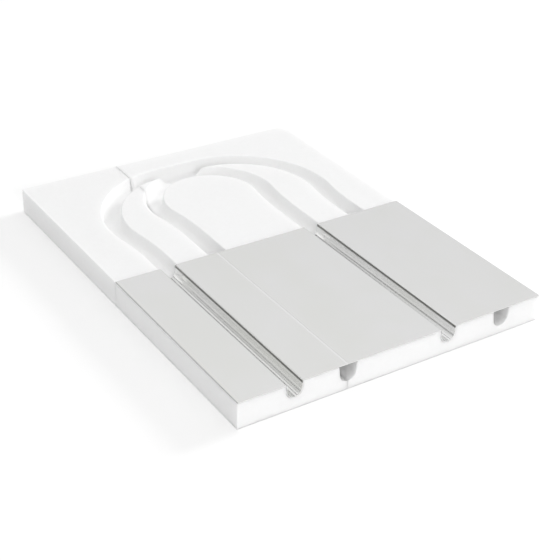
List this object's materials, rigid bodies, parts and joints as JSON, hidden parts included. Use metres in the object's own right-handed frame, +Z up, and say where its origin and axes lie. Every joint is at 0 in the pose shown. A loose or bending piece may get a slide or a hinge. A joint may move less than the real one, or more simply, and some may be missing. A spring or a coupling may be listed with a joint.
{
  "type": "underfloor heating board set",
  "caption": "White foam underfloor heating boards with round-bottomed pipe grooves and return bends, and flat aluminium heat plates whose pressed channels sit in the straight grooves.",
  "frame": {"origin": "middle of the set's underside", "axes": "+X to the right across the grooves, +Y back along the straight grooves towards the return bends, +Z up"},
  "size_m": [0.375, 0.5, 0.0306],
  "materials": {
    "foam": "matte",
    "aluminium": "satin"
  },
  "bodies": {
    "straight_board_wide": {"straight_board_wide": "foam"},
    "heat_plate_wide": {"heat_plate_wide": "aluminium"},
    "straight_board_narrow": {"straight_board_narrow": "foam"},
    "heat_plate_narrow": {"heat_plate_narrow": "aluminium"},
    "turn_board_wide": {"turn_board_wide": "foam"},
    "turn_board_narrow": {"turn_board_narrow": "foam"}
  },
  "joints": [
    {"name": "heat_plate_wide_lift", "type": "slide", "parent": "straight_board_wide", "child": "heat_plate_wide", "axis": [0, 0, 1], "range_m": [0, 0.05]},
    {"name": "straight_board_narrow_pull", "type": "slide", "parent": "straight_board_wide", "child": "straight_board_narrow", "axis": [-1, 0, 0], "range_m": [0, 0.08]},
    {"name": "heat_plate_narrow_lift", "type": "slide", "parent": "straight_board_narrow", "child": "heat_plate_narrow", "axis": [0, 0, 1], "range_m": [0, 0.05]},
    {"name": "turn_board_wide_pull", "type": "slide", "parent": "straight_board_wide", "child": "turn_board_wide", "axis": [0, 1, 0], "range_m": [0, 0.08]},
    {"name": "turn_board_narrow_pull", "type": "slide", "parent": "turn_board_wide", "child": "turn_board_narrow", "axis": [-1, 0, 0], "range_m": [0, 0.08]}
  ]
}
